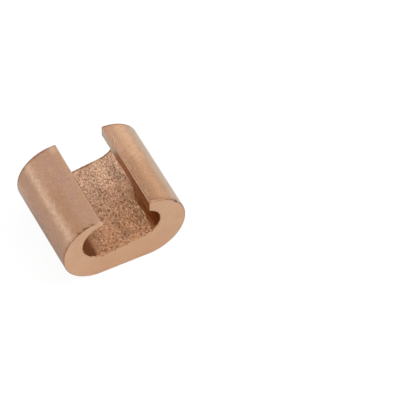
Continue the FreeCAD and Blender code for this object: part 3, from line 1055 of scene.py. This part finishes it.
def groove_rim_coats(tree, wall, coats):
    """A brown line along the rims, broken at the near one, whose rounded edge has painted light where
    it is bare, and a glint at the far one."""
    broken = ramp(tree, wall.grain, -0.2, 0.6, 0.0, 0.5)
    coats.over(blend(tree, wall.far, GROOVE_RIM_NEAR, GROOVE_RIM_FAR),
               near_end(tree, wall.place, GROOVE_RIM_REACH),
               most(tree, broken, times(tree, wall.far, 0.85)))
    bare = ramp(tree, wall.cover, 0.2, 0.9, 0.75, 0.2)
    coats.over(RIM_EDGE_LIGHT, mark(tree, "rim"), bare, ramp(tree, wall.along, *MIDDLE, 1.0, 0.0))
    glint = scratch(tree, wall.place, *FAR_GLINT_LINE, FAR_GLINT_WIDTH)
    coats.over(FAR_GLINT, glint, strength=0.55)


def grit_wall():
    """The inside of the grooves: coarse grit on the floor, and nearly bare walls."""
    made, tree, shader = material("grit_wall")
    wall = GrooveWall(tree)
    gritty = blend(tree, wall.far, GRIT_NEAR, GRIT_FAR)
    coats = Coats(tree, blend(tree, wall.cover, bare_wall(tree, wall), gritty))
    for coat in (grit_coats, patch_coats, tap_wall_coats, stroke_coats, groove_rim_coats):
        coat(tree, wall, coats)
    height = sum_of(tree, "SUBTRACT", wall.grain, times(tree, wall.pits, 1.2))
    feed_all(tree, shader, {
        "Base Color": coats.tone,
        "Roughness": ramp(tree, wall.cover, 0.1, 0.9, BARE_ROUGH, GRIT_ROUGH),
        "Normal": bump(tree, times(tree, height, wall.cover), GRIT_BUMP)})
    return made


# The sawn ends: their two tones, and how fast their level falls towards the tap side and the
# mouth, per metre
SAWN_ROSE = rgb(215, 174, 141)
SAWN_PALE = rgb(219, 179, 147)
SAWN_CLOUD = 2.5 * MM
SAWN_FALL = (2.5, 4.5)
SAWN_LIFT = 0.03
SAWN_ROUGH = 0.5
SAWN_BUMP = 0.001 * MM


def sawn_end():
    """The end faces, matt from the saw, in soft clouds of two tones."""
    made, tree, shader = material("sawn_end")
    place = object_place(tree)
    cloud = noise(tree, scaled(tree, place, 1.0 / SAWN_CLOUD), 3.0, 0.55)
    tone = blend(tree, ramp(tree, cloud, 0.35, 0.65), SAWN_ROSE, SAWN_PALE)
    mottle = grain(tree, place, 0.3 * MM, 1.0)
    across, _, up = add(tree, "ShaderNodeSeparateXYZ", {0: place}).outputs
    duller = plus(tree, weighted(tree, *zip((across, up), SAWN_FALL)), -SAWN_LIFT)
    level = sum_of(tree, "SUBTRACT", times(tree, mottle, 0.03), duller)
    feed_all(tree, shader, {
        "Base Color": lit(tree, tone, level),
        "Roughness": SAWN_ROUGH,
        "Normal": bump(tree, mottle, SAWN_BUMP)})
    return made


# Studio

FLOOR_HALF = 1.2
WHITE = (1.0, 1.0, 1.0, 1.0)
PAPER = 0.8                 # how much light the paper gives back
PAPER_IN_PICTURE = 0.1      # and how much of that the camera sees, so that the shadow is faint
GLOW_IN_PICTURE = 0.92
TENT = 0.87                 # how bright the white tent shines on the bar


def paper_floor():
    """White paper under the bar. The camera sees a part of its light and shadow, and a glow that
    makes up the rest, so that the paper stands white round the bar with a faint shadow."""
    half = FLOOR_HALF
    corners = [(-half, -half, 0), (half, -half, 0), (half, half, 0), (-half, half, 0)]
    mesh = bpy.data.meshes.new("paper_floor")
    mesh.from_pydata(corners, [], [(0, 1, 2, 3)])
    made = bpy.data.materials.new("white_paper")
    tree = cleared(made)
    seen = add(tree, "ShaderNodeLightPath").outputs["Is Camera Ray"]
    given_back = sum_of(tree, "MULTIPLY_ADD", seen, PAPER_IN_PICTURE - PAPER, PAPER)
    grey = add(tree, "ShaderNodeCombineColor", {0: given_back, 1: given_back, 2: given_back})
    diffuse = add(tree, "ShaderNodeBsdfDiffuse", {"Color": grey.outputs[0]})
    glow = add(tree, "ShaderNodeEmission", {
        "Color": WHITE, "Strength": times(tree, seen, GLOW_IN_PICTURE)})
    both = add(tree, "ShaderNodeAddShader", {0: diffuse.outputs[0], 1: glow.outputs[0]})
    add(tree, "ShaderNodeOutputMaterial", {"Surface": both.outputs[0]})
    mesh.materials.append(made)
    floor = in_scene("paper_floor", mesh)


def studio_world():
    """A white tent of even light, which the camera sees as plain white."""
    world = bpy.data.worlds.new("white_tent")
    bpy.context.scene.world = world
    tree = cleared(world)
    seen = add(tree, "ShaderNodeLightPath").outputs["Is Camera Ray"]
    tent = add(tree, "ShaderNodeBackground", {"Color": WHITE, "Strength": TENT})
    white = add(tree, "ShaderNodeBackground", {"Color": WHITE, "Strength": 1.0})
    pick = add(tree, "ShaderNodeMixShader", {0: seen, 1: tent.outputs[0], 2: white.outputs[0]})
    add(tree, "ShaderNodeOutputWorld", {"Surface": pick.outputs[0]})


def direction(azimuth, elevation):
    """From the bar towards a stand: azimuth 0 is in front, and 90 at the tap side."""
    turn, tilt = math.radians(azimuth), math.radians(elevation)
    return Vector((math.sin(turn) * math.cos(tilt), -math.cos(turn) * math.cos(tilt), math.sin(tilt)))


def stand(thing, right, up, back, place):
    """Put a lamp or camera at a place, turned so that its own axes point right, up and back."""
    turned = Matrix((right, up, back)).transposed().to_4x4()
    thing.matrix_world = Matrix.Translation(place) @ turned


# Softboxes: azimuth, elevation, width, height, level and colour
LAMPS = {
    "key_box": (65.0, 50.0, 0.3, 0.3, 2.4, WHITE[:3]),
    "left_strip": (-123.0, 8.7, 0.35, 0.04, 1.1, (0.75, 1.0, 1.05)),
    "right_box": (122.0, 15.0, 0.35, 0.24, 0.24, WHITE[:3]),
}
LAMP_DISTANCE = 0.5
UPRIGHT = Vector((0, 0, 1))


def softbox(name, azimuth, elevation, width, height, level, colour):
    """An area lamp that stands off from the bar in a direction and faces it. Its power is its
    level times four times its area."""
    lamp = bpy.data.lights.new(name, "AREA")
    lamp.shape = "RECTANGLE"
    lamp.size, lamp.size_y = width, height
    lamp.energy = 4 * level * width * height
    lamp.color = colour
    back = direction(azimuth, elevation)
    right = UPRIGHT.cross(back).normalized()
    box = in_scene(name, lamp)
    stand(box, right, back.cross(right), back, back * LAMP_DISTANCE + UPRIGHT * HEIGHT / 2)
    box.visible_camera = False


# Where the photograph was taken from: turn and tilt about the bar, roll, and the station's
# distance and offsets along the picture's right and up
CAMERA_TURN, CAMERA_TILT, CAMERA_ROLL = -27.682, 52.04, 0.958
CAMERA_DISTANCE, CAMERA_RIGHT, CAMERA_UP = mm(609.88, 16.231, 4.145)
LENS, FILM = 333.0, 36.0
CLIP_NEAR, CLIP_FAR = 0.01, 10.0


def photograph_camera():
    """The camera at the photograph's station, with the bar where the photograph has it."""
    back = direction(CAMERA_TURN, CAMERA_TILT)
    turn, roll = math.radians(CAMERA_TURN), math.radians(CAMERA_ROLL)
    level = Vector((math.cos(turn), math.sin(turn), 0))
    right = level * math.cos(roll) + back.cross(level) * math.sin(roll)
    up = back.cross(right)
    lens = bpy.data.cameras.new("camera")
    lens.sensor_width, lens.lens = FILM, LENS
    lens.clip_start, lens.clip_end = CLIP_NEAR, CLIP_FAR
    camera = in_scene("camera", lens)
    stand(camera, right, up, back, back * CAMERA_DISTANCE + right * CAMERA_RIGHT + up * CAMERA_UP)
    bpy.context.scene.camera = camera


# The scene

bar = bar_object((drawn_skin(), grit_wall(), sawn_end()))
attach(bar, "root")
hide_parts(BAR)
paper_floor()
studio_world()
for name, lamp in LAMPS.items():
    softbox(name, *lamp)
photograph_camera()
bpy.context.scene.view_settings.view_transform = "Standard"
